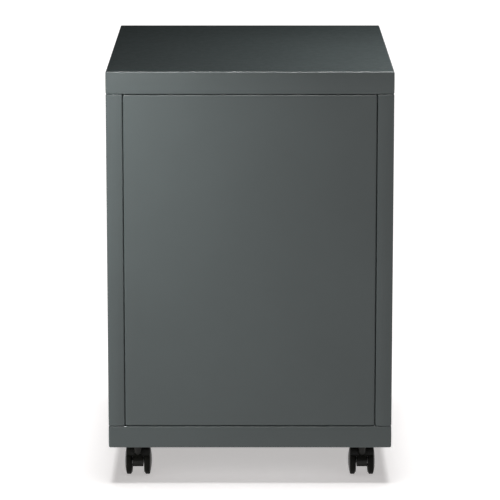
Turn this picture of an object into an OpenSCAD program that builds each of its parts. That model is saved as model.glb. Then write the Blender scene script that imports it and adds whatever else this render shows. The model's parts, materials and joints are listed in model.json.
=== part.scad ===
// Mobile pedestal: a steel box/file drawer cabinet on four twin-wheel casters.
// Millimetres. +Z up, drawers face -Y, plain rear panel faces +Y, origin on the floor under the centre.

/* [Case] */
// Overall width
width = 380; // [340:1:460]
// Overall depth of the case, drawer fronts included
depth = 490; // [450:1:600]
// Overall height above the floor
height = 560; // [520:1:700]
// Floor to the underside of the base
clearance = 50; // [45:1:70]
// Height of the folded top and base pans
band = 30; // [24:1:45]
// Width of the two rear stiles
stile = 22; // [16:1:40]
// Case sheet thickness
sheet = 1.0; // [0.7:0.1:1.5]
// Outside bend radius of the folded sheet
bend = 2.0; // [1:0.1:3]
// Groove round the rear panel
groove = 0.7; // [0.6:0.1:3]

/* [Drawers] */
// Thickness of a drawer front
front_thickness = 20; // [16:1:25]
// Height of the upper (box) drawer front
box_front_height = 146; // [120:1:180]
// Gap between neighbouring fronts
reveal = 2.5; // [1.5:0.5:4]
// Depth of the finger pull below the top of a front
pull_depth = 38; // [25:1:50]
// How far the pull's lip stands below the top of a front
pull_drop = 20; // [12:1:25]
// Outside half width of a drawer body
body_half = 159; // [140:1:190]

/* [Slides] */
// Closed length of a slide
slide_length = 400; // [350:10:500]
// Height of the slide section
slide_height = 45; // [35:1:50]
// Steel ball diameter
ball = 3.0; // [2:0.1:4]

/* [Casters] */
// Swivel axis to the cabinet centre plane
caster_x = 152; // [140:1:170]
// Rear swivel axis position
rear_stem_y = 213; // [190:1:215]
// Front swivel axis position
front_stem_y = -195; // [-205:1:-170]
// Wheel radius
wheel_r = 20; // [18:0.5:25]
// Swivel axis to wheel axis
trail = 19; // [10:0.5:25]

/* [Hidden] */

hw = width / 2;
y_face = 2 - depth / 2 - 1;          // plane of the drawer faces
y_rear = depth / 2 + 1;              // plane of the rear
y_back = y_face + front_thickness;   // back of the drawer fronts
y_flange = y_back + 0.5;             // front flanges of the sides
z_base = clearance + band;           // top of the base pan
z_top = height - band;               // bottom of the top pan
box_z1 = z_top - 2;
box_z0 = box_z1 - box_front_height;
file_z1 = box_z0 - reveal;
file_z0 = z_base + 2;
wall = body_half + 12.7;             // mounting face of the slides
slide_y0 = y_back + 18;
slide_y1 = slide_y0 + slide_length;
box_body_z = [box_z0 + 6, box_z1 - pull_depth];
file_body_z = [file_z0 + 8, file_z1 - 44.5];
box_slide_z = box_body_z[0] + 37;
file_slide_z = file_body_z[0] + 130;
hs = slide_height / 2;
lock_x = 150;
lock_z = height - band / 2;
bar_y = y_back + 3;                  // front face of the lock bar
front_axle_y = front_stem_y - trail;
rear_axle_y = rear_stem_y - trail;

charcoal = [0.31, 0.33, 0.33];
zinc = [0.72, 0.73, 0.74];
black = [0.06, 0.06, 0.06];

// ---------- helpers ----------
module round_rect(w, h, r) {
    square([w - 2 * r, h], center = true);
    square([w, h - 2 * r], center = true);
    for (x = [-1, 1], y = [-1, 1])
        translate([x * (w / 2 - r), y * (h / 2 - r)]) circle(r, $fn = 32);
}
// block between two corners with every edge rounded
module soft_block(a, b, r) {
    s = b - a;
    translate((a + b) / 2) intersection() {
        linear_extrude(s.z, center = true) round_rect(s.x, s.y, r);
        rotate([90, 0, 0]) linear_extrude(s.y, center = true) round_rect(s.x, s.z, r);
        rotate([90, 0, 90]) linear_extrude(s.x, center = true) round_rect(s.y, s.z, r);
    }
}
module block(a, b) translate(a) cube(b - a);
// folded closed pan, hollow
module pan(a, b) difference() {
    soft_block(a, b, bend);
    soft_block(a + [sheet, sheet, sheet], b - [sheet, sheet, sheet], max(bend - sheet, 0.3));
}
module on_side(s) { if (s > 0) children(); else mirror([1, 0, 0]) children(); }
// children in the X-Z plane, run from y0 to y1
module along_y(y0, y1) translate([0, y1, 0]) rotate([90, 0, 0]) linear_extrude(y1 - y0) children();
// children in the Y-Z plane, run from x0 to x1
module along_x(x0, x1) translate([x0, 0, 0]) rotate([90, 0, 90]) linear_extrude(x1 - x0) children();
module rect(a, b) translate(a) square(b - a);
module disc_x(x0, x1, r) translate([x0, 0, 0]) rotate([0, 90, 0]) cylinder(r = r, h = x1 - x0, $fn = 72);

// ---------- case ----------
module top_panel() color(charcoal) difference() {
    pan([-hw, y_face, z_top], [hw, y_rear, height]);
    block([-hw + 12, y_face + 12, z_top - 1], [hw - 12, y_rear - 12, z_top + sheet + 1]);
    block([wall + 4, bar_y - 1.5, z_top - 1], [hw - 1.5, bar_y + 3.5, z_top + sheet + 1]);
    translate([lock_x, y_face - 1, lock_z]) rotate([-90, 0, 0]) cylinder(r = 9.5, h = 4, $fn = 64);
}
module base_panel() color(charcoal) difference() {
    pan([-hw, y_face, clearance], [hw, y_rear, z_base]);
    block([-hw + 12, y_face + 12, clearance - 1], [hw - 12, y_rear - 12, clearance + sheet + 1]);
}
module side_panel(s) color(charcoal) on_side(s) difference() {
    pan([hw - stile, y_flange, z_base], [hw, y_rear, z_top]);
    block([hw - stile - 1, y_flange - 1, z_base - 1], [hw - 14, y_rear - 12, z_top + 1]);
    block([hw - 15, y_flange + sheet, z_base + sheet], [hw - 14 + 1, y_rear - 12, z_top - sheet]);
    if (s > 0) block([wall + 4, bar_y - 0.5, z_top - 3], [hw - 1.5, bar_y + 3.5, z_top + 1]);
}
module back_panel() color(charcoal) {
    x = hw - stile - groove;
    z0 = z_base + groove;
    z1 = z_top - groove;
    difference() {
        pan([-x, y_rear - 13, z0], [x, y_rear, z1]);
        block([-x + 9, y_rear - 14, z0 + 9], [x - 9, y_rear - 11, z1 - 9]);
    }
    for (s = [-1, 1]) on_side(s)
        block([x - 3, y_rear - 13, z0 + 12], [hw - 11, y_rear - 12, z1 - 12]);
}
module upright(s, y0) color(zinc) on_side(s) translate([0, y0, 0]) difference() {
    linear_extrude(z_top - z_base - 2 * sheet - 2) {
        rect([wall, 0], [wall + 1.2, 35]);
        for (y = [0, 33.8]) rect([wall, y], [hw - sheet, y + 1.2]);
        rect([hw - sheet - 1.2, -7], [hw - sheet, 1.2]);
        rect([hw - sheet - 1.2, 33.8], [hw - sheet, 42]);
    }
    for (z = [box_slide_z, file_slide_z, box_slide_z - 70, file_slide_z + 70])
        translate([wall - 1, 17.5, z - z_base - sheet - 1]) rotate([0, 90, 0])
            cylinder(r = 2.2, h = 4, $fn = 32);
}
module placed_upright(s, y0) translate([0, 0, z_base + sheet + 1]) upright(s, y0);
module caster_channel(y) color(zinc) translate([0, y, 0]) difference() {
    union() {
        block([-hw + 4, -20, clearance + sheet], [hw - 4, 20, clearance + sheet + 2]);
        for (s = [-1, 1]) scale([1, s, 1]) {
            block([-hw + 4, 18, clearance + sheet], [hw - 4, 20, z_base - sheet]);
            block([-hw + 4, 18, z_base - sheet - 2], [hw - 4, 30, z_base - sheet]);
        }
        for (s = [-1, 1]) translate([s * caster_x, 0, clearance + sheet + 1])
            cylinder(r = 9.8, h = 9, $fn = 6);
    }
    for (s = [-1, 1]) translate([s * caster_x, 0, clearance]) cylinder(r = 5, h = 20, $fn = 48);
}
module counterweight() color([0.18, 0.18, 0.19]) difference() {
    soft_block([-150, y_rear - 47, z_base], [150, y_rear - 15, z_base + 100], 2);
    for (x = [-110, 110]) translate([x, y_rear - 31, z_base - 1]) cylinder(r = 4.2, h = 102, $fn = 32);
}

// ---------- lock ----------
module lock_axis() translate([lock_x, 0, lock_z]) rotate([-90, 0, 0]) children();
module lock_housing() color(zinc) lock_axis() difference() {
    union() {
        translate([0, 0, y_face]) cylinder(r = 9.45, h = 19.6, $fn = 64);
        translate([0, 0, y_face - 2]) cylinder(r1 = 11, r2 = 12, h = 1, $fn = 64);
        translate([0, 0, y_face - 1]) cylinder(r = 12, h = 1, $fn = 64);
        translate([0, 0, y_face + sheet]) cylinder(r = 12.7, h = 4, $fn = 6);
    }
    translate([0, 0, y_face - 3]) cylinder(r = 6, h = 30, $fn = 64);
}
module lock_core() color([0.8, 0.8, 0.8]) lock_axis() difference() {
    translate([0, 0, y_face - 1.9]) cylinder(r = 5.95, h = 21.9, $fn = 64);
    translate([-0.7, -3.6, y_face - 3]) cube([1.4, 7.2, 12]);
    translate([-1.3, -1.3, y_face - 3]) cube([2.6, 2.6, 11]);
}
module lock_cam() color(zinc) lock_axis() {
    // the pin starts 45 degrees below the horizontal (rotated frame: +y here is down)
    translate([0, 0, y_back - 4 + 4]) {
        cylinder(r = 7, h = 2.4, $fn = 48);
        rotate([0, 0, 45]) {
            translate([0, -3.4, 0]) cube([10, 6.8, 2.4]);
            translate([10, 0, 0]) cylinder(r = 3.4, h = 2.4, $fn = 48);
            translate([10, 0, 0]) cylinder(r = 2, h = 5.4, $fn = 48);
        }
    }
}
module lock_bar() color(zinc) {
    x_pin = lock_x + 7.07;
    z_pin = lock_z - 7.07;
    along_y(bar_y, bar_y + 2) difference() {
        union() {
            rect([lock_x + 2.5, z_pin - 6], [hw - 3, z_pin + 6]);
            rect([wall + 5.3, file_body_z[1] - 69], [hw - 3, z_pin + 6]);
            rect([wall - 9.7, box_body_z[1] - 36], [hw - 3, box_body_z[1] - 26]);
            rect([wall - 9.7, file_body_z[1] - 61], [hw - 3, file_body_z[1] - 51]);
        }
        rect([x_pin, z_pin - 2.5], [x_pin + 2.85, z_pin + 2.5]);
        for (x = [x_pin, x_pin + 2.85]) translate([x, z_pin]) circle(2.5, $fn = 32);
    }
}
module lock_bar_guides() color([0.85, 0.85, 0.82])
    for (z = [z_top - 30, file_body_z[1] - 15]) difference() {
        block([wall + 3.9, y_flange + sheet, z], [hw - 1.6, bar_y + 3.4, z + 8]);
        block([wall + 4.9, bar_y - 0.4, z - 1], [hw - 2.6, bar_y + 2.4, z + 9]);
    }
module catch(z) color(zinc) {
    block([body_half, bar_y + 3, z], [wall - 1.7, bar_y + 5, z + 12]);
    block([body_half, bar_y + 3, z], [body_half + 1.6, bar_y + 15, z + 12]);
}

// ---------- slides ----------
// channel between s0 and s1 from the mounting face, half height h, web at either edge
module channel_2d(s0, s1, h, web_inner, zc) {
    t = 1.2;
    wx = web_inner ? wall - s1 : wall - s0 - t;
    rect([wx, zc - h], [wx + t, zc + h]);
    for (z = [zc - h, zc + h - t]) rect([wall - s1, z], [wall - s0, z + t]);
}
module slide_outer(s, zc) color(zinc) on_side(s) difference() {
    union() {
        along_y(slide_y0, slide_y1) channel_2d(0, 10.5, hs, false, zc);
        block([wall - 10.5, slide_y1 - 1.2, zc - 3], [wall, slide_y1, zc + 3]);
    }
    for (y = [slide_y0 + 18.5, slide_y1 - 20.5]) translate([wall - 3, y, zc]) rotate([0, 90, 0])
        cylinder(r = 2.2, h = 6, $fn = 32);
}
module slide_middle(s, zc) color(zinc) on_side(s)
    along_y(slide_y0, slide_y1 - 2) channel_2d(2.8, 10.5, hs - 4.7, false, zc);
module slide_inner(s, zc, s0, h) color(zinc) on_side(s)
    along_y(slide_y0, slide_y1 - 2) channel_2d(s0, 12.7, h, true, zc);
// two rows of balls held in a thin folded strip
module ball_cage(zc, h, s_web, s_ball, y0, n, pitch) {
    y1 = y0 + n * pitch;
    along_y(y0, y1) {
        rect([wall - s_web - 0.7, zc - h - 0.35], [wall - s_web, zc + h + 0.35]);
        for (z = [zc - h, zc + h]) rect([wall - s_ball - 1.9, z - 0.35], [wall - s_web, z + 0.35]);
    }
    for (z = [zc - h, zc + h], i = [0:n - 1])
        translate([wall - s_ball, y0 + (i + 0.5) * pitch, z]) sphere(r = ball / 2, $fn = 32);
}
module box_ball_cages() color([0.78, 0.72, 0.5]) for (s = [-1, 1]) on_side(s)
    ball_cage(box_slide_z, hs - 2.95, 2.3, 7.4, slide_y0 + 153, 8, 12);
module file_outer_ball_cages() color([0.78, 0.72, 0.5]) for (s = [-1, 1]) on_side(s)
    ball_cage(file_slide_z, hs - 2.95, 1.65, 6.0, slide_y0 + 102, 8, 24);
module file_inner_ball_cages() color([0.78, 0.72, 0.5]) for (s = [-1, 1]) on_side(s)
    ball_cage(file_slide_z, hs - 7.65, 4.15, 7.9, slide_y0 + 102, 8, 24);

// ---------- drawers ----------
// folded front with a full width finger pull along its top edge
module drawer_front(z0, z1) color(charcoal) {
    x = hw - 1;
    y0 = y_face;
    y1 = y_back;
    zl = z1 - pull_drop;
    difference() {
        intersection() {
            union() {
                along_x(-x, x) {
                    rect([y0, z0], [y0 + sheet, zl - 1.3]);
                    rect([y0, z0], [y1, z0 + sheet]);
                    rect([y0, z1 - pull_depth], [y0 + 2.6, zl - 1.3]);
                    translate([y0 + 1.3, zl - 1.3]) circle(1.3, $fn = 32);
                    rect([y0, z1 - pull_depth], [y1, z1 - pull_depth + sheet]);
                    rect([y1 - sheet, z0], [y1, z1]);
                    rect([y1 - 4, z1 - sheet], [y1, z1]);
                }
                for (s = [-1, 1]) on_side(s) along_x(x - sheet, x)
                    polygon([[y0, z0], [y1, z0], [y1, z1], [y1 - 6, z1], [y0, zl]]);
            }
            soft_block([-x, y0, z0], [x, y1, z1], bend);
        }
        // window behind the front, closed by the drawer body
        block([-body_half + 40, y1 - 2, z0 + 30], [body_half - 40, y1 + 1, z1 - pull_depth - 20]);
    }
}
module drawer_body(z) color(charcoal) {
    r = body_half;
    y0 = y_back;
    y1 = slide_y1 + 1;
    difference() {
        soft_block([-r, y0, z[0]], [r, y1, z[1] + 10], bend);
        soft_block([-r + 1, y0 + 1, z[0] + 1], [r - 1, y1 - 1, z[1] + 20], 0.6);
        block([-r - 1, y0 - 1, z[1]], [r + 1, y1 + 1, z[1] + 21]);
    }
    for (s = [-1, 1]) on_side(s) block([r - 6, y0 + 0.5, z[1] - 1], [r - 0.5, y1 - 0.5, z[1]]);
    block([-r + 1, y1 - 6, z[1] - 1], [r - 1, y1 - 0.5, z[1]]);
}
module pencil_tray() color(black) {
    z = box_body_z[1];
    y0 = y_back + 2;
    difference() {
        union() {
            soft_block([-151.5, y0 + 1, z - 24], [151.5, y0 + 91, z + 2], 1.6);
            block([-158, y0, z], [158, y0 + 92, z + 2]);
        }
        // long groove at the front, three bins behind it
        block([-149.5, y0 + 3, z - 22], [149.5, y0 + 38, z + 3]);
        for (x = [-149.5, -49.3, 50.9]) block([x, y0 + 40, z - 22], [x + 98.2, y0 + 89, z + 3]);
    }
}
module box_divider() color(charcoal) {
    z = box_body_z[0] + 1;
    y = y_back + 244;
    x = body_half - 1.8;
    block([-x, y, z], [x, y + 1, z + 60]);
    block([-x, y, z], [x, y + 12, z + 1]);
    block([-x, y, z + 59], [x, y + 6, z + 60]);
}
module file_rail(s) color(zinc) on_side(s) {
    z = file_body_z[1];
    block([body_half - 6, y_back + 10, z], [body_half - 0.5, slide_y1 - 8, z + 1]);
    along_y(y_back + 10, slide_y1 - 8) {
        rect([body_half - 6, z], [body_half - 4, z + 5]);
        translate([body_half - 5, z + 5]) circle(1, $fn = 24);
    }
}
module file_cross_bar() color(zinc) {
    z = file_body_z[1] + 6.1;
    y = slide_y1 - 50;
    block([-body_half + 2.2, y, z], [body_half - 2.2, y + 24, z + 1.5]);
    for (s = [-1, 1]) on_side(s) {
        block([body_half - 3.6, y, z - 4.4], [body_half - 2.2, y + 24, z + 1]);
        block([body_half - 7.8, y, z - 4.4], [body_half - 6.4, y + 24, z + 1]);
    }
    for (d = [0, 22.6]) block([-body_half + 8, y + d, z - 6], [body_half - 8, y + d + 1.4, z + 1]);
}

// ---------- casters ----------
module at_stem(s, y) translate([s * caster_x, y, 0]) children();
module at_axle(s, y) translate([s * caster_x, y - trail, wheel_r]) children();
module caster_stems() color(zinc)
    for (s = [-1, 1], y = [front_stem_y, rear_stem_y]) at_stem(s, y) {
        difference() {
            translate([0, 0, clearance - 17]) cylinder(r = 3.5, h = 15.8, $fn = 48);
            translate([0, 0, clearance - 11.5]) difference() {
                cylinder(r = 5, h = 2, $fn = 48);
                cylinder(r = 2.8, h = 2, $fn = 48);
            }
        }
        translate([0, 0, clearance - 3.5]) cylinder(r = 8.1, h = 4.5, $fn = 6);
        translate([0, 0, clearance + 0.5]) cylinder(r = 5, h = 20, $fn = 48);
        translate([0, 0, clearance + 20.5]) cylinder(r1 = 5, r2 = 4, h = 1, $fn = 48);
    }
module wheel(s, y, side) color(black) at_axle(s, y) scale([side, 1, 1]) rotate([0, 90, 0])
    rotate_extrude($fn = 96) difference() {
        intersection() {
            union() {
                rect([0, 8], [wheel_r - 2, 18.5]);
                rect([wheel_r - 6, 10], [wheel_r, 15]);
                translate([wheel_r - 2, 10]) circle(2, $fn = 48);
                translate([wheel_r - 2, 14.8]) circle(2, $fn = 48);
            }
            translate([0, 18.5 - 70]) circle(70, $fn = 200);
        }
        rect([-1, 7], [3.05, 15.2]);
        rect([5.5, 7], [15.5, 11]);
    }
module axle(s, y) color(zinc) at_axle(s, y) disc_x(-14.8, 14.8, 3);
module yoke(s, y, brake) color(black) at_axle(s, y) difference() {
    union() {
        // web between the wheels
        intersection() {
            disc_x(-7.2, 7.2, wheel_r - 1);
            block([-10, -30, -5], [10, 30, 30]);
        }
        // hood over both wheels
        intersection() {
            union() {
                difference() {
                    disc_x(-15.2, 15.2, wheel_r + 2.8);
                    disc_x(-19, 19, wheel_r + 1);
                }
                disc_x(-7.2, 7.2, wheel_r + 2);
            }
            block([-20, -30, brake ? 4.6 : 9.6], [20, 30, 30]);
        }
        // socket for the stem
        translate([0, trail, 16]) cylinder(r = 5, h = clearance - 40.2, $fn = 48);
        translate([0, trail, 16]) sphere(r = 5, $fn = 48);
        // lugs that carry the brake lever
        if (brake) for (x = [-1, 1]) rotate([28, 0, 0]) {
            translate([0, 0, 26]) disc_x(x > 0 ? 10 : -12.6, x > 0 ? 12.6 : -10, 2.8);
            block([x > 0 ? 10 : -12.6, -2.8, 21.8], [x > 0 ? 12.6 : -10, 2.8, 26]);
        }
    }
    disc_x(-8, 8, 3);
    translate([0, trail, clearance - 17.4 - wheel_r]) cylinder(r = 3.55, h = 24, $fn = 48);
    if (brake) {
        rotate([28, 0, 0]) translate([0, 0, 26]) disc_x(-13, 13, 1.25);
        for (x = [-1, 1]) rotate([45, 0, 0])
            block([x > 0 ? 8.3 : -17.7, -7.2, 18], [x > 0 ? 17.7 : -8.3, 1, 25]);
    }
}
// toggle on the hood; its two pads reach down through the hood to the treads
module brake_lever(s) color([0.45, 0.05, 0.04]) at_axle(s, front_stem_y) {
    rotate([28, 0, 0]) translate([0, 0, 26]) {
        disc_x(-9.7, 9.7, 2.5);
        disc_x(-12.4, 12.4, 1.2);
    }
    rotate([45, 0, 0]) {
        block([-9.7, -1, 25.4], [9.7, 8.5, 27.6]);
        block([-16, -12, 25.4], [16, 0.5, 27.6]);
        block([-16, -13.6, 25.4], [16, -11.4, 29]);
        for (x = [-1, 1]) difference() {
            block([x > 0 ? 9 : -15, -6, 21], [x > 0 ? 15 : -9, -1, 26]);
            disc_x(-20, 20, 22.4);
        }
    }
}

// ---------- assembly ----------
top_panel();
side_panel(-1);  // left_side_panel
side_panel(1);  // right_side_panel
back_panel();
base_panel();
placed_upright(-1, slide_y0 + 1);  // front_left_upright
placed_upright(1, slide_y0 + 1);  // front_right_upright
placed_upright(-1, slide_y1 - 38);  // rear_left_upright
placed_upright(1, slide_y1 - 38);  // rear_right_upright
caster_channel(front_stem_y);  // front_caster_channel
caster_channel(rear_stem_y);  // rear_caster_channel
counterweight();
lock_housing();
lock_core();
lock_cam();
lock_bar();
lock_bar_guides();
slide_outer(-1, box_slide_z);  // left_box_slide_outer
slide_outer(1, box_slide_z);  // right_box_slide_outer
slide_inner(-1, box_slide_z, 4.5, hs - 4.7);  // left_box_slide_inner
slide_inner(1, box_slide_z, 4.5, hs - 4.7);  // right_box_slide_inner
box_ball_cages();
slide_outer(-1, file_slide_z);  // left_file_slide_outer
slide_outer(1, file_slide_z);  // right_file_slide_outer
slide_middle(-1, file_slide_z);  // left_file_slide_middle
slide_middle(1, file_slide_z);  // right_file_slide_middle
slide_inner(-1, file_slide_z, 5.2, hs - 9.4);  // left_file_slide_inner
slide_inner(1, file_slide_z, 5.2, hs - 9.4);  // right_file_slide_inner
file_outer_ball_cages();
file_inner_ball_cages();
drawer_front(box_z0, box_z1);  // box_drawer_front
drawer_body(box_body_z);  // box_drawer_body
catch(box_body_z[1] - 20);  // box_drawer_catch
pencil_tray();
box_divider();
drawer_front(file_z0, file_z1);  // file_drawer_front
drawer_body(file_body_z);  // file_drawer_body
catch(file_body_z[1] - 45);  // file_drawer_catch
file_rail(-1);  // left_file_rail
file_rail(1);  // right_file_rail
file_cross_bar();
caster_stems();
yoke(-1, front_stem_y, true);  // front_left_yoke
yoke(1, front_stem_y, true);  // front_right_yoke
yoke(-1, rear_stem_y, false);  // rear_left_yoke
yoke(1, rear_stem_y, false);  // rear_right_yoke
axle(-1, front_stem_y);  // front_left_axle
axle(1, front_stem_y);  // front_right_axle
axle(-1, rear_stem_y);  // rear_left_axle
axle(1, rear_stem_y);  // rear_right_axle
wheel(-1, front_stem_y, -1);  // front_left_wheel_a
wheel(-1, front_stem_y, 1);  // front_left_wheel_b
wheel(1, front_stem_y, -1);  // front_right_wheel_a
wheel(1, front_stem_y, 1);  // front_right_wheel_b
wheel(-1, rear_stem_y, -1);  // rear_left_wheel_a
wheel(-1, rear_stem_y, 1);  // rear_left_wheel_b
wheel(1, rear_stem_y, -1);  // rear_right_wheel_a
wheel(1, rear_stem_y, 1);  // rear_right_wheel_b
brake_lever(-1);  // left_brake_lever
brake_lever(1);  // right_brake_lever
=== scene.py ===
"""Looks for the rolling pedestal cabinet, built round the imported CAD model.

Metres, +Z up, the drawers face -Y and the plain rear, which the camera looks at, faces +Y.
"""
import json
import math

import bmesh
import bpy
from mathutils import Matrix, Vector

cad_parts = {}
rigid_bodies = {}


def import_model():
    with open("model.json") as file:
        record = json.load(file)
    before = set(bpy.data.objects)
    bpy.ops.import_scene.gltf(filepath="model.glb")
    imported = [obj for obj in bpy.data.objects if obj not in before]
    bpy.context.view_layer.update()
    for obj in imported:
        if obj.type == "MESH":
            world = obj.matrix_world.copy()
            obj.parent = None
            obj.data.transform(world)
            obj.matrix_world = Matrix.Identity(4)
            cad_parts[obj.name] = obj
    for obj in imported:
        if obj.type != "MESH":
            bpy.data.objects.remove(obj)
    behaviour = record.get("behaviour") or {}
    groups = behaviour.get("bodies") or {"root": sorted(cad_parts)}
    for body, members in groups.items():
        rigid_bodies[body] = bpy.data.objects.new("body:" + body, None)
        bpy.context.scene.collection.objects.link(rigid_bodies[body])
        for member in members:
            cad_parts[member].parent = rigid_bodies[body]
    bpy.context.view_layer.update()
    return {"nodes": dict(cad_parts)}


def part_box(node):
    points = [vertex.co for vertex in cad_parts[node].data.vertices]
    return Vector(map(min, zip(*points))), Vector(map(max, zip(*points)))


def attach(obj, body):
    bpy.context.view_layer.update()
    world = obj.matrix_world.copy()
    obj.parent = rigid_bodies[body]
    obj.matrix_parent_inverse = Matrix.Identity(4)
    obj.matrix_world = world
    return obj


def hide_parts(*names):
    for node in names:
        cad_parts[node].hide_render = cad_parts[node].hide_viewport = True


MM = 0.001
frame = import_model()
nodes = frame["nodes"]
scene = bpy.context.scene

SMOOTH_ANGLE = 32  # degrees; a steeper edge stays sharp
COAT_ROUGHNESS = 0.18
FINE_MOTTLE = 14   # how much finer the roughness noise is than the colour noise


# ---------------------------------------------------------------- materials
def links_of(name):
    """A new material with its Principled shader: (material, tree, shader)."""
    m = bpy.data.materials.new(name)
    m.use_nodes = True
    t = m.node_tree
    return m, t, t.nodes["Principled BSDF"]


def coords(t, stretch=(1, 1, 1)):
    """Object coordinates, in metres, scaled by stretch."""
    c = t.nodes.new("ShaderNodeTexCoord")
    mp = t.nodes.new("ShaderNodeMapping")
    mp.inputs["Scale"].default_value = stretch
    t.links.new(c.outputs["Object"], mp.inputs["Vector"])
    return mp.outputs["Vector"]


def noise(t, vec, scale, detail=2.0, rough=0.5):
    n = t.nodes.new("ShaderNodeTexNoise")
    n.inputs["Scale"].default_value = scale
    n.inputs["Detail"].default_value = detail
    n.inputs["Roughness"].default_value = rough
    t.links.new(vec, n.inputs["Vector"])
    return n.outputs["Fac"]


def ramp(t, fac, lo, hi, a=0.3, b=0.7):
    """Maps fac from a..b to lo..hi; colours when lo is a tuple."""
    if isinstance(lo, tuple):
        r = t.nodes.new("ShaderNodeValToRGB")
        r.color_ramp.elements[0].position = a
        r.color_ramp.elements[1].position = b
        r.color_ramp.elements[0].color = (*lo, 1)
        r.color_ramp.elements[1].color = (*hi, 1)
        t.links.new(fac, r.inputs["Fac"])
        return r.outputs["Color"]
    r = t.nodes.new("ShaderNodeMapRange")
    for k, v in zip(("From Min", "From Max", "To Min", "To Max"), (a, b, lo, hi)):
        r.inputs[k].default_value = v
    t.links.new(fac, r.inputs["Value"])
    return r.outputs["Result"]


def bump(t, layers):
    """layers: (height output, distance, strength), chained."""
    normal = None
    for height, dist, strength in layers:
        b = t.nodes.new("ShaderNodeBump")
        b.inputs["Distance"].default_value = dist
        b.inputs["Strength"].default_value = strength
        t.links.new(height, b.inputs["Height"])
        if normal is not None:
            t.links.new(normal, b.inputs["Normal"])
        normal = b.outputs["Normal"]
    return normal


def surface(name, colour, rough, metallic=0.0, vary=0.06, rough_vary=0.06, mottle=12.0,
            layers=(), stretch=(1, 1, 1), spec=0.5, coat=0.0):
    """A general procedural finish. layers: (scale, distance, strength) of bump noise."""
    m, t, s = links_of(name)
    vec = coords(t, stretch)
    big = noise(t, vec, mottle, 3.0, 0.6)
    lo = tuple(c * (1 - vary) for c in colour)
    hi = tuple(c * (1 + vary) for c in colour)
    t.links.new(ramp(t, big, lo, hi), s.inputs["Base Color"])
    fine = noise(t, vec, mottle * FINE_MOTTLE, 3.0, 0.6)
    t.links.new(ramp(t, fine, rough - rough_vary, rough + rough_vary), s.inputs["Roughness"])
    s.inputs["Metallic"].default_value = metallic
    s.inputs["Specular IOR Level"].default_value = spec
    if coat:
        s.inputs["Coat Weight"].default_value = coat
        s.inputs["Coat Roughness"].default_value = COAT_ROUGHNESS
    if layers:
        heights = [(noise(t, vec, sc, 2.0, 0.5), d, st) for sc, d, st in layers]
        t.links.new(bump(t, heights), s.inputs["Normal"])
    return m


PAINT = (0.050, 0.0605, 0.0605)
CASTER_BLACK = (0.005, 0.005, 0.004)
powder = surface("powder_coat", PAINT, 0.47, vary=0.04, rough_vary=0.05, mottle=9, spec=0.2,
                 coat=0.35, layers=((900, 0.00006, 0.3), (2600, 0.00003, 0.35)))
powder_in = surface("powder_coat_inside", tuple(c * 0.95 for c in PAINT), 0.5, vary=0.07,
                    mottle=14, layers=((900, 0.00012, 0.3),))
zinc = surface("zinc_plate", (0.60, 0.61, 0.62), 0.34, metallic=1.0, vary=0.08, rough_vary=0.08,
               mottle=30, layers=((420, 0.00005, 0.3),), stretch=(1, 0.15, 1))
slide_zinc = surface("slide_zinc", (0.62, 0.64, 0.66), 0.28, metallic=1.0, vary=0.06,
                     rough_vary=0.07, mottle=60, layers=((900, 0.00003, 0.3),),
                     stretch=(1, 0.04, 1))
ball_steel = surface("ball_steel", (0.66, 0.62, 0.5), 0.2, metallic=1.0, vary=0.05, mottle=80)
casting = surface("cast_primer", (0.035, 0.035, 0.038), 0.75, vary=0.2, mottle=40,
                  layers=((160, 0.0006, 0.5), (900, 0.0002, 0.4)))
nickel = surface("nickel", (0.42, 0.42, 0.41), 0.3, metallic=1.0, vary=0.04, mottle=60,
                 layers=((1500, 0.00001, 0.3),))
natural = surface("natural_plastic", (0.68, 0.67, 0.62), 0.45, vary=0.04, mottle=50,
                  layers=((900, 0.00005, 0.3),))
tray_black = surface("tray_plastic", (0.022, 0.022, 0.023), 0.5, vary=0.08, mottle=30,
                     layers=((2200, 0.00008, 0.5),))
nylon = surface("caster_nylon", CASTER_BLACK, 0.24, vary=0.1, spec=0.2, mottle=60,
                layers=((1400, 0.00004, 0.35),))
wheel_black = surface("wheel_plastic", CASTER_BLACK, 0.2, vary=0.1, rough_vary=0.05,
                      mottle=70, layers=((1200, 0.00003, 0.3),), spec=0.2)
tread = surface("tread_rubber", CASTER_BLACK, 0.55, spec=0.1, vary=0.15, mottle=90,
                layers=((1600, 0.00008, 0.5),))
lever_mat = surface("lever_plastic", (0.016, 0.016, 0.017), 0.42, vary=0.1, mottle=80,
                    layers=((1500, 0.00005, 0.4),))


def look_of(n):
    """The finish of a CAD node, from its name."""
    if n in ("top_panel", "base_panel", "back_panel") or "side_panel" in n or "drawer_front" in n:
        return powder
    if n.endswith("drawer_body") or n == "box_divider":
        return powder_in
    if "_slide_" in n:
        return slide_zinc
    if "ball_cages" in n:
        return ball_steel
    if n == "counterweight":
        return casting
    if n in ("lock_housing", "lock_core"):
        return nickel
    if n == "lock_bar_guides":
        return natural
    if n == "pencil_tray":
        return tray_black
    if n.endswith("_yoke"):
        return nylon
    if "_wheel_" in n:
        return wheel_black
    if "brake" in n:
        return lever_mat
    return zinc


for name, o in nodes.items():
    me = o.data
    me.materials.clear()
    me.materials.append(look_of(name))
    me.shade_smooth()
    me.set_sharp_from_angle(angle=math.radians(SMOOTH_ANGLE))


# ---------------------------------------------------------------- pieces
def made(name, bm, mats, body, stands_for=(), smooth=SMOOTH_ANGLE):
    """Turns bm into a piece that rides on body and stands for the CAD nodes named."""
    me = bpy.data.meshes.new(name)
    bm.normal_update()
    bm.to_mesh(me)
    bm.free()
    for m in mats:
        me.materials.append(m)
    me.shade_smooth()
    me.set_sharp_from_angle(angle=math.radians(smooth))
    o = bpy.data.objects.new(name, me)
    scene.collection.objects.link(o)
    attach(o, body)
    if stands_for:
        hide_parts(*stands_for)
    return o


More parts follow.
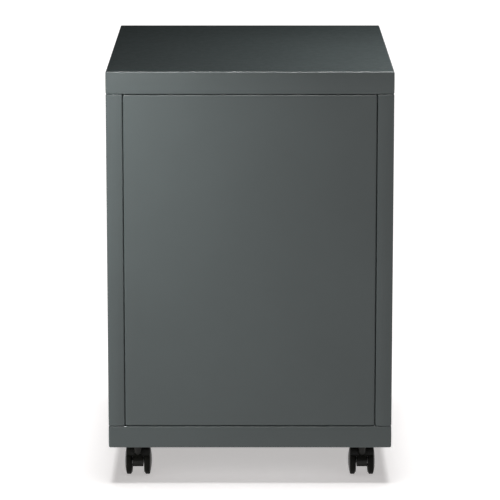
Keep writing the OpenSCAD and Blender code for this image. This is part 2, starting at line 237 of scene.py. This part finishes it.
def steps(lo, hi, r, flat, cuts=()):
    """Grid lines from lo to hi: even angles round each edge radius, flat between, and the cuts."""
    reach = [r * math.tan(math.radians(a)) for a in (45, 36, 27, 18, 9)]
    out = [lo + r - t for t in reach] + [hi - r + t for t in reach]
    out += [lo + r + (hi - lo - 2 * r) * i / flat for i in range(flat + 1)]
    out += list(cuts)
    return sorted(set(round(v, 6) for v in out))


def rounded_box(a, b, r, flat, cuts=((), (), ()), crown=None):
    """A closed box with round edges. crown: {face: (axes, amount)}, such as {"+y": ("z", 0.8)}."""
    line = [steps(a[k], b[k], r, flat[k], cuts[k]) for k in range(3)]
    bm = bmesh.new()
    made_at = {}

    def vert(ijk):
        if ijk not in made_at:
            p = Vector([line[k][ijk[k]] for k in range(3)])
            inner = Vector([min(max(p[k], a[k] + r), b[k] - r) for k in range(3)])
            d = p - inner
            q = inner + d.normalized() * r
            for face, (axes, amount) in (crown or {}).items():
                k = "xyz".index(face[1])
                end = b[k] if face[0] == "+" else a[k]
                if abs(p[k] - end) > 1e-6:
                    continue
                f = amount
                for ax in axes:
                    m = "xyz".index(ax)
                    u = (q[m] - (a[m] + b[m]) / 2) / ((b[m] - a[m]) / 2 - r)
                    f *= max(0.0, 1 - u * u)
                q[k] += f if face[0] == "+" else -f
            made_at[ijk] = bm.verts.new(q * MM)
        return made_at[ijk]

    for k in range(3):
        i, j = (k + 1) % 3, (k + 2) % 3
        for end in (0, len(line[k]) - 1):
            for u in range(len(line[i]) - 1):
                for v in range(len(line[j]) - 1):
                    ring = []
                    for du, dv in ((0, 0), (1, 0), (1, 1), (0, 1)):
                        ijk = [0, 0, 0]
                        ijk[k], ijk[i], ijk[j] = end, u + du, v + dv
                        ring.append(vert(tuple(ijk)))
                    bm.faces.new(ring if end else ring[::-1])
    return bm


def hollow(bm, thickness, gone):
    """Removes the faces that gone(centre, normal) names, and gives the rest a sheet's thickness."""
    bm.normal_update()
    doomed = [f for f in bm.faces if gone(f.calc_center_median() / MM, f.normal)]
    bmesh.ops.delete(bm, geom=doomed, context="FACES")
    bm.normal_update()
    outer = list(bm.verts)
    inner = {v: bm.verts.new(v.co - v.normal * thickness * MM * (v.calc_shell_factor() or 1))
             for v in outer}
    for f in list(bm.faces):
        bm.faces.new([inner[v] for v in reversed(f.verts)])
    for e in list(bm.edges):
        if len(e.link_faces) == 1 and e.verts[0] in inner and e.verts[1] in inner:
            f = e.link_faces[0]
            loop = next(lp for lp in f.loops if lp.edge == e)
            v0, v1 = loop.vert, loop.link_loop_next.vert
            bm.faces.new([v1, v0, inner[v0], inner[v1]])
    bmesh.ops.recalc_face_normals(bm, faces=bm.faces)
    return bm


def lathe(profile, axis, centre, seg=96, closed=True, mat_of=None, bm=None):
    """Turns (radius, height) points in mm about axis through centre."""
    bm = bm or bmesh.new()
    ax = {"x": Vector((1, 0, 0)), "-x": Vector((-1, 0, 0)), "y": Vector((0, 1, 0)),
          "-y": Vector((0, -1, 0)), "z": Vector((0, 0, 1)), "-z": Vector((0, 0, -1))}[axis]
    side = Vector((0, 0, 1)) if abs(ax.z) < 0.5 else Vector((1, 0, 0))
    other = ax.cross(side)
    c = Vector(centre)
    rings = []
    for r, h in profile:
        if r < 1e-6:
            rings.append([bm.verts.new((c + ax * h) * MM)])
        else:
            rings.append([bm.verts.new((c + ax * h + (side * math.cos(t) + other * math.sin(t))
                                        * r) * MM)
                          for t in [2 * math.pi * k / seg for k in range(seg)]])
    n = len(rings)
    for i in range(n if closed else n - 1):
        p, q = rings[i], rings[(i + 1) % n]
        if len(p) == 1 and len(q) == 1:
            continue
        for k in range(seg):
            k2 = (k + 1) % seg
            pts = [p[k % len(p)], q[k % len(q)], q[k2 % len(q)], p[k2 % len(p)]]
            pts = [v for m, v in enumerate(pts) if v not in pts[:m]]
            if len(pts) > 2:
                f = bm.faces.new(pts)
                if mat_of:
                    f.material_index = mat_of(i)
    bmesh.ops.recalc_face_normals(bm, faces=bm.faces)
    return bm


def arc(cx, cy, r, a0, a1, n=6):
    """n + 1 points on a circle, from a0 to a1 degrees."""
    return [(cx + r * math.cos(math.radians(a0 + (a1 - a0) * k / n)),
             cy + r * math.sin(math.radians(a0 + (a1 - a0) * k / n))) for k in range(n + 1)]


def mm_box(node):
    """A CAD node's corners in mm."""
    lo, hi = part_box(node)
    return lo / MM, hi / MM


BEND, BASE_BEND = 2.0, 2.4             # outer radius of the folds
SHEET = 1.0
LIP = 12                               # the pans' edges turned in
FLANGE = 8                             # the sides' narrow edges
STILE, RETURN = 22, 12                 # the sides' rear stile and its return
HALF_WIDTH = 190
PANEL_GAP = 0.7                        # seam beside the rear panel
PANEL_FLANGE, PANEL_DEPTH = 9, 13
NOTCH = (175.7, 188.5, -222.5, -217.5)  # x and y of the lock bar's way through

# top pan: lips turned in along its open underside, a notch for the lock bar
lo, hi = mm_box("top_panel")


def inside(c, lo, hi, edge):
    """Whether c is further than edge from the sides of lo..hi, seen from above."""
    return lo.x + edge < c.x < hi.x - edge and lo.y + edge < c.y < hi.y - edge


def in_notch(c):
    return NOTCH[0] < c.x < NOTCH[1] and NOTCH[2] < c.y < NOTCH[3]


def top_open(c, n, lo=lo, hi=hi):
    return n.z <= -0.9 and (inside(c, lo, hi, LIP) or in_notch(c))


bm = rounded_box(lo, hi, BEND, (14, 16, 6),
                 ((lo.x + LIP, hi.x - LIP, NOTCH[0]), (lo.y + LIP, hi.y - LIP, *NOTCH[2:]), ()),
                 {"+y": ("z", 0.4), "-y": ("z", 0.3), "+x": ("z", 0.15), "-x": ("z", 0.15),
                  "+z": ("xy", 0.4)})
made("top_shell", hollow(bm, SHEET, top_open), [powder], "case", ("top_panel",))

# base pan, open below
lo, hi = mm_box("base_panel")


def base_open(c, n, lo=lo, hi=hi):
    return n.z < -0.9 and inside(c, lo, hi, LIP)


bm = rounded_box(lo, hi, BASE_BEND, (14, 16, 6),
                 ((lo.x + LIP, hi.x - LIP), (lo.y + LIP, hi.y - LIP), ()),
                 {"+y": ("z", 0.3), "-y": ("z", 0.3), "+x": ("z", 0.15), "-x": ("z", 0.15)})
made("base_shell", hollow(bm, SHEET, base_open), [powder], "case", ("base_panel",))

# sides: a rear stile with its return, narrow flanges along the other three edges
for side, s in (("left", -1), ("right", 1)):
    lo, hi = mm_box(side + "_side_panel")
    x0 = lo.x if s > 0 else hi.x
    flange = x0 + FLANGE * s
    rear = hi.y - RETURN

    def side_open(c, n, s=s, flange=flange, rear=rear):
        if c.y < rear and (c.x - flange) * s < 0:
            return True
        return s > 0 and n.z > 0.9 and in_notch(c)

    out = "+x" if s > 0 else "-x"
    bm = rounded_box(lo, hi, BEND, (4, 16, 16),
                     ((flange,) + ((NOTCH[1],) if s > 0 else ()),
                      (rear,) + (NOTCH[2:] if s > 0 else ()), ()),
                     {"+y": ("x", 1.0), out: ("yz", 0.3)})
    made(side + "_side_shell", hollow(bm, SHEET, side_open), [powder], "case",
         (side + "_side_panel",))

# rear panel: a shallow tray between the stiles, with tabs behind their returns
lo, hi = mm_box("back_panel")
xp, yb = HALF_WIDTH - STILE - PANEL_GAP, hi.y
z0, z1 = lo.z, hi.z
xf, za, zb = xp - PANEL_FLANGE, z0 + PANEL_FLANGE, z1 - PANEL_FLANGE
bm = rounded_box((-xp, yb - PANEL_DEPTH, z0), (xp, yb, z1), BEND, (16, 4, 18),
                 ((-xf, xf), (), (za, zb)), {"+y": ("xz", 0.8)})
hollow(bm, SHEET, lambda c, n: n.y < -0.9 and abs(c.x) < xf and za < c.z < zb)
TAB_FROM, TAB_TO = xp - 3, HALF_WIDTH - 11
TAB_SHEET, TAB_INSET = 0.9, 12
for s in (-1, 1):
    tab = bmesh.ops.create_cube(bm, size=1)["verts"]
    size = Vector((TAB_TO - TAB_FROM, TAB_SHEET, z1 - z0 - 2 * TAB_INSET))
    middle = Vector((s * (TAB_FROM + TAB_TO) / 2, yb - PANEL_DEPTH + TAB_SHEET / 2, (z0 + z1) / 2))
    bmesh.ops.scale(bm, vec=size * MM, verts=tab)
    bmesh.ops.translate(bm, vec=middle * MM, verts=tab)
made("back_shell", bm, [powder], "case", ("back_panel",))

# twin wheels: a domed cheek with a hub cap ring, and a softer tread round it
DOME, WHEEL_R, WHEEL_SEG = 70.0, 20.0, 96
CHEEK_TOP = 18.5                       # from the caster's middle to the dome's top
WHEEL_INNER = 8                        # from the caster's middle to the wheel's inner face
AXLE_HOLE, AXLE_END = 3.1, 15.2
SEAT = 17.55                           # radius where the tread meets the cheek


def cheek(r):
    return CHEEK_TOP - (DOME - math.sqrt(DOME * DOME - r * r))


def groove(r, depth):
    """A ring groove in the cheek, from radius r inwards."""
    return [(r, cheek(r) - depth), (r - 0.4, cheek(r - 0.4) - depth), (r - 0.6, cheek(r - 0.6))]


def wheel_piece(name, body, cx, cy, side):
    """Profiles are (radius, distance from the caster's middle)."""
    core = [(AXLE_HOLE, WHEEL_INNER), (5.2, 8.0)] + arc(5.2, 8.3, 0.3, -90, 0, 2)
    core += [(5.5, 11.0), (15.5, 11.0)]
    core += arc(15.8, 8.3, 0.3, 180, 270, 2) + [(17.3, 8.0), (17.6, 8.3), (17.6, 9.6)]
    core += [(17.6, 15.6), (17.3, cheek(17.3) - 0.25), (17.0, cheek(17.0))]
    core += [(r, cheek(r)) for r in (16.0, 15.2)]
    core += groove(15.0, 0.35) + [(r, cheek(r)) for r in (13, 11.5, 10, 8.5, 7.2)]
    core += groove(7.0, 0.4) + [(r, cheek(r)) for r in (5, 3.5, 2)]
    core += [(0.0, CHEEK_TOP), (0.0, AXLE_END), (AXLE_HOLE, AXLE_END)]
    ring = [(SEAT, 9.2)] + arc(18.6, 9.9, 0.7, 200, 270, 3) + arc(18.2, 11.0, 1.8, -60, 0, 5)
    ring += arc(18.2, 14.2, 1.8, 0, 80, 6) + [(SEAT, 16.1)]
    axis, centre = "x" if side > 0 else "-x", (cx, cy, WHEEL_R)
    bm = lathe(core, axis, centre, WHEEL_SEG)
    lathe(ring, axis, centre, WHEEL_SEG, mat_of=lambda i: 1, bm=bm)
    made(name, bm, [wheel_black, tread], body, (body,), smooth=28)


for node in sorted(nodes):
    if "_wheel_" in node:
        lo, hi = mm_box(node)
        side = -1 if node.endswith("a") else 1
        cx = lo.x - WHEEL_INNER if side > 0 else hi.x + WHEEL_INNER
        wheel_piece(node + "_piece", node, cx, (lo.y + hi.y) / 2, side)

# stems with a rolled thread, a hexagon and a snap-ring groove; profiles are (radius, height)
STEM_X, STEM_Y = 152.0, (-195.0, 213.0)
STEM_FOOT, STEM_TOP = 33.0, 71.5
HEX_FROM, HEX_TO = 46.5, 51.0
THREAD_FROM, PITCH, TURNS = 51.5, 1.5, 12
stem = [(0, STEM_FOOT), (2.9, STEM_FOOT), (3.5, 33.8), (3.5, 38.5), (2.8, 38.6), (2.8, 40.4),
        (3.5, 40.5), (3.5, HEX_FROM), (5.2, HEX_FROM), (5.2, HEX_TO), (4.9, 51.2)]
for k in range(TURNS):
    z = THREAD_FROM + k * PITCH
    stem += [(5.0, z + 0.35), (5.0, z + 0.5), (4.35, z + 1.1), (4.35, z + 1.25)]
stem += [(4.6, 70.7), (4.0, STEM_TOP), (0, STEM_TOP)]
hexagon = [(5.1, HEX_FROM), (7.6, HEX_FROM), (8.1, 46.9), (8.1, 50.6), (7.6, HEX_TO),
           (5.1, HEX_TO)]
bm = bmesh.new()
for sx in (-1, 1):
    for y in STEM_Y:
        lathe(stem, "z", (sx * STEM_X, y, 0), 40, closed=False, bm=bm)
        lathe(hexagon, "z", (sx * STEM_X, y, 0), 6, bm=bm)
made("stem_set", bm, [zinc], "case", ("caster_stems",))

# ---------------------------------------------------------------- stage
floor_mat, ft, fs = links_of("floor_white")
fvec = coords(ft)
ft.links.new(ramp(ft, noise(ft, fvec, 0.6), (0.86, 0.85, 0.85), (0.88, 0.87, 0.87)),
             fs.inputs["Base Color"])
fs.inputs["Roughness"].default_value = 0.9
fs.inputs["Specular IOR Level"].default_value = 0.1
fs.inputs["Emission Color"].default_value = (1.0, 0.965, 0.955, 1)
fs.inputs["Emission Strength"].default_value = 0.45
bm = bmesh.new()
bmesh.ops.create_grid(bm, x_segments=2, y_segments=2, size=30)
fm = bpy.data.meshes.new("floor")
bm.to_mesh(fm)
bm.free()
floor = bpy.data.objects.new("floor", fm)
fm.materials.append(floor_mat)
scene.collection.objects.link(floor)

cabinet = bpy.data.collections.new("cabinet")
for o in list(scene.objects):
    if o.type == "MESH" and o is not floor:
        cabinet.objects.link(o)
ground = bpy.data.collections.new("ground")
ground.objects.link(floor)


def area(name, loc, aim, size, power, spread=None, glossy=True, diffuse=True):
    """A soft light for the cabinet alone, so that the floor stays evenly white."""
    light = bpy.data.lights.new(name, "AREA")
    light.shape = "RECTANGLE"
    light.size, light.size_y = size
    light.energy = power
    if spread:
        light.spread = spread
    o = bpy.data.objects.new(name, light)
    o.location = loc
    o.rotation_euler = (Vector(aim) - Vector(loc)).to_track_quat("-Z", "Y").to_euler()
    o.visible_camera = False
    o.visible_glossy = glossy
    o.visible_diffuse = diffuse
    scene.collection.objects.link(o)
    o.light_linking.receiver_collection = cabinet


sun = bpy.data.lights.new("floor_light", "SUN")
sun.energy = 2.5
sun.angle = math.radians(20)
o = bpy.data.objects.new("floor_light", sun)  # a sun points straight down unless it is turned
scene.collection.objects.link(o)
o.light_linking.receiver_collection = ground

# name, place, what it points at, size, watts
area("key", (0.183, 0.71, 0.63), (0.35, 0.246, 0.47), (0.18, 0.18), 1.3,
     spread=1.82, glossy=False)
area("top_light", (-0.42, 0.15, 1.08), (-0.42, 0.1499, 0), (0.3, 0.3), 8.4)
area("edge_strip", (0, 0.36, 1.2), (0, 0.3599, 0), (1.3, 0.10), 2.6, spread=0.5, diffuse=False)
area("low_left", (0.8, 0.8, 0.12), (0.15, 0.22, 0.04), (0.12, 0.2), 2.0, glossy=False)
area("front_fill", (0.5, -1.6, 0.3), (0, -0.2, 0.3), (0.8, 0.3), 9.4, glossy=False)
area("left_graze", (1.4, 0.62, 0.45), (0.1, 0.246, 0.35), (0.3, 0.4), 14, glossy=False)
area("left_fill", (1.7, -0.1, 0.3), (0, -0.1, 0.3), (1.6, 0.5), 4.5, glossy=False)
area("line_card", (0.4, 1.9, 2.0), (0.1, 0.246, 0.3), (2.2, 0.25), 55, diffuse=False)
area("drawer_light", (0, -0.78, 1.3), (0, -0.78, 0), (0.9, 0.2), 14, spread=1.0)
area("right_fill", (-1.7, -0.1, 0.3), (0, -0.1, 0.3), (1.6, 0.5), 7, glossy=False)

# surroundings, brighter towards +Y
world = bpy.data.worlds.new("studio")
world.use_nodes = True
scene.world = world
wt = world.node_tree
background = wt.nodes["Background"]
background.inputs["Strength"].default_value = 0.3
direction = wt.nodes.new("ShaderNodeTexCoord")
split = wt.nodes.new("ShaderNodeSeparateXYZ")
wt.links.new(direction.outputs["Generated"], split.inputs["Vector"])
along = ramp(wt, split.outputs["Y"], 0.0, 1.0, -0.6, 0.8)
wt.links.new(ramp(wt, along, (0.02, 0.02, 0.02), (0.37, 0.37, 0.37), 0.0, 1.0),
             background.inputs["Color"])

CAMERA_AT, LOOKING_DOWN, FACING = (0, 4.208, 1.1162), 11.344, 180
cam = bpy.data.cameras.new("camera")
cam.sensor_width = 36
cam.lens = 219.2
camera = bpy.data.objects.new("camera", cam)
camera.location = CAMERA_AT
camera.rotation_euler = (math.radians(90 - LOOKING_DOWN), 0, math.radians(FACING))
scene.collection.objects.link(camera)
scene.camera = camera
scene.view_settings.view_transform = "Standard"
scene.view_settings.look = "None"
